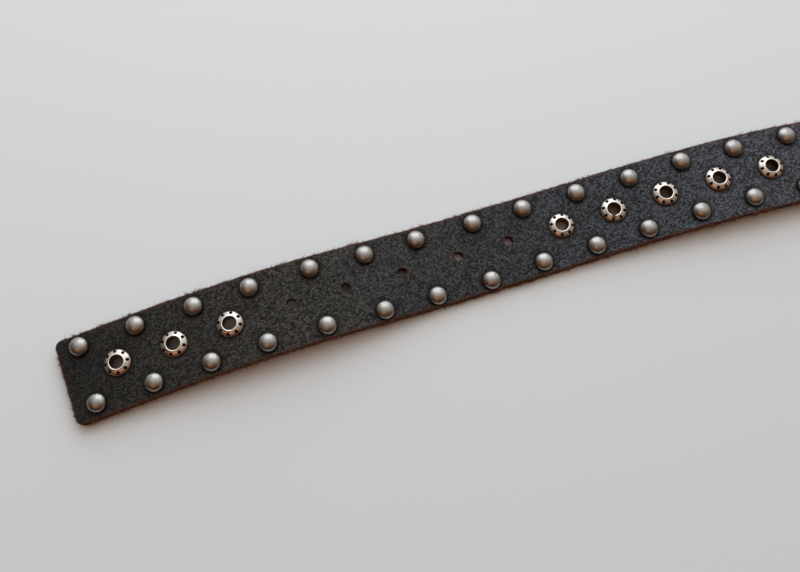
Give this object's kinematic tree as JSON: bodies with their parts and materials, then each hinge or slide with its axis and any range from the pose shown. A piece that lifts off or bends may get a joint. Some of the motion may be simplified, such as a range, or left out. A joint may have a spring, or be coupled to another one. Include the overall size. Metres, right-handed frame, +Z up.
{
  "type": "studded belt",
  "caption": "Leather belt lying flat, with two rows of domed rivets, a middle row of pierced eyelets, plain prong holes near its square tip and a one-prong buckle.",
  "frame": {"origin": "middle of the belt's box, on the surface that it lies on", "axes": "+X along the strap from its tip to its buckle, +Z up out of the studded face, +Y to the upper row of studs"},
  "size_m": [0.9958, 0.0618, 0.0125],
  "materials": {
    "leather": "matte grained, charcoal black, with brown raw edges",
    "stud_nickel": "worn satin nickel plate with brown tarnish in the shadows",
    "eyelet_nickel": "bright nickel plate with warm reflections",
    "buckle_steel": "plain satin nickel-plated steel"
  },
  "bodies": {
    "root": {"strap": "leather", "stud_upper_01": "stud_nickel", "stud_upper_02": "stud_nickel", "stud_upper_03": "stud_nickel", "stud_upper_04": "stud_nickel", "stud_upper_05": "stud_nickel", "stud_upper_06": "stud_nickel", "stud_upper_07": "stud_nickel", "stud_upper_08": "stud_nickel", "stud_upper_09": "stud_nickel", "stud_upper_10": "stud_nickel", "stud_upper_11": "stud_nickel", "stud_upper_12": "stud_nickel", "stud_upper_13": "stud_nickel", "stud_upper_14": "stud_nickel", "stud_lower_01": "stud_nickel", "stud_lower_02": "stud_nickel", "stud_lower_03": "stud_nickel", "stud_lower_04": "stud_nickel", "stud_lower_05": "stud_nickel", "stud_lower_06": "stud_nickel", "stud_lower_07": "stud_nickel", "stud_lower_08": "stud_nickel", "stud_lower_09": "stud_nickel", "stud_lower_10": "stud_nickel", "stud_lower_11": "stud_nickel", "stud_lower_12": "stud_nickel", "stud_lower_13": "stud_nickel", "stud_lower_14": "stud_nickel", "eyelet_01": "eyelet_nickel", "eyelet_02": "eyelet_nickel", "eyelet_03": "eyelet_nickel", "eyelet_09": "eyelet_nickel", "eyelet_10": "eyelet_nickel", "eyelet_11": "eyelet_nickel", "eyelet_12": "eyelet_nickel", "eyelet_13": "eyelet_nickel", "buckle": "buckle_steel"}
  },
  "joints": []
}
